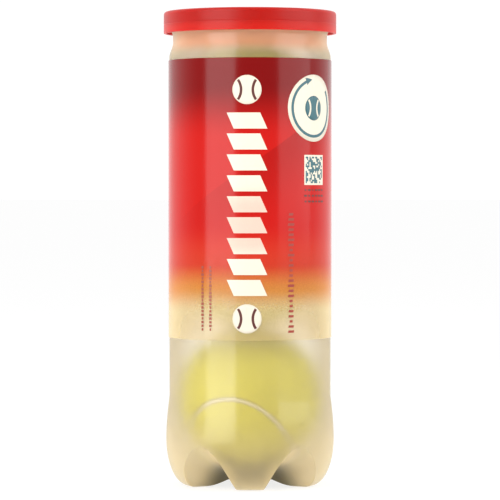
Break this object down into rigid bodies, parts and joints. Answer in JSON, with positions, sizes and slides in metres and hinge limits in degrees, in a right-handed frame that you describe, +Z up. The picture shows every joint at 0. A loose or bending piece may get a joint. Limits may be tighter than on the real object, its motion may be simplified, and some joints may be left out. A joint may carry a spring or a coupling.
{
  "type": "tennis ball can",
  "caption": "Clear round can with a lobed foot, printed sleeve, ring-pull end and push-on overcap, holding a stack of felt balls.",
  "frame": {"origin": "on the can's axis, in the plane that its feet stand on", "axes": "+Z up along the can's axis; -Y points to the middle of one foot; +Y points to the ring-pull's nose"},
  "size_m": [0.0796, 0.0796, 0.218],
  "materials": {
    "pet": "clear, slightly warm blown PET",
    "sleeve": "satin printed film, dark red at the top, red, then fading to clear",
    "end_metal": "lacquered, bright rolled sheet",
    "compound": "matt lining compound",
    "overcap": "satin red, a little translucent",
    "core": "matt moulded rubber",
    "felt": "napped optic yellow felt",
    "cement": "pale matt vulcanised seam"
  },
  "bodies": {
    "can": {"can_body": "pet", "label_sleeve": "sleeve", "seam_ring": "end_metal", "sealing_compound": "compound"},
    "ball_1": {"ball_1_felt_a": "felt", "ball_1_felt_b": "felt", "ball_1_seam_cement": "cement", "ball_1_core_upper": "core", "ball_1_core_lower": "core"},
    "ball_2": {"ball_2_felt_a": "felt", "ball_2_felt_b": "felt", "ball_2_seam_cement": "cement", "ball_2_core_upper": "core", "ball_2_core_lower": "core"},
    "ball_3": {"ball_3_felt_a": "felt", "ball_3_felt_b": "felt", "ball_3_seam_cement": "cement", "ball_3_core_upper": "core", "ball_3_core_lower": "core"},
    "end_panel": {"tear_panel": "end_metal", "tab_tongue": "end_metal"},
    "pull_tab": {"pull_tab": "end_metal"},
    "overcap": {"overcap": "overcap"}
  },
  "joints": [
    {"name": "ball_1_out", "type": "slide", "parent": "can", "child": "ball_1", "axis": [0, 0, 1], "range_m": [0, 0.215]},
    {"name": "ball_2_out", "type": "slide", "parent": "ball_1", "child": "ball_2", "axis": [0, 0, 1], "range_m": [0, 0.148]},
    {"name": "ball_3_out", "type": "slide", "parent": "ball_2", "child": "ball_3", "axis": [0, 0, 1], "range_m": [0, 0.082]},
    {"name": "panel_off", "type": "slide", "parent": "ball_3", "child": "end_panel", "axis": [0, 0, 1], "range_m": [0, 0.03]},
    {"name": "overcap_lift", "type": "slide", "parent": "end_panel", "child": "overcap", "axis": [0, 0, 1], "range_m": [0, 0.06]},
    {"name": "tab_lift", "type": "hinge", "parent": "end_panel", "child": "pull_tab", "pos_m": [0, 0.031, 0.2121], "axis": [-1, 0, 0], "range_deg": [0, 90]}
  ],
  "couplings": [
    {"joint": "tab_lift", "follows": "overcap_lift", "rad_per_m": 26}
  ]
}
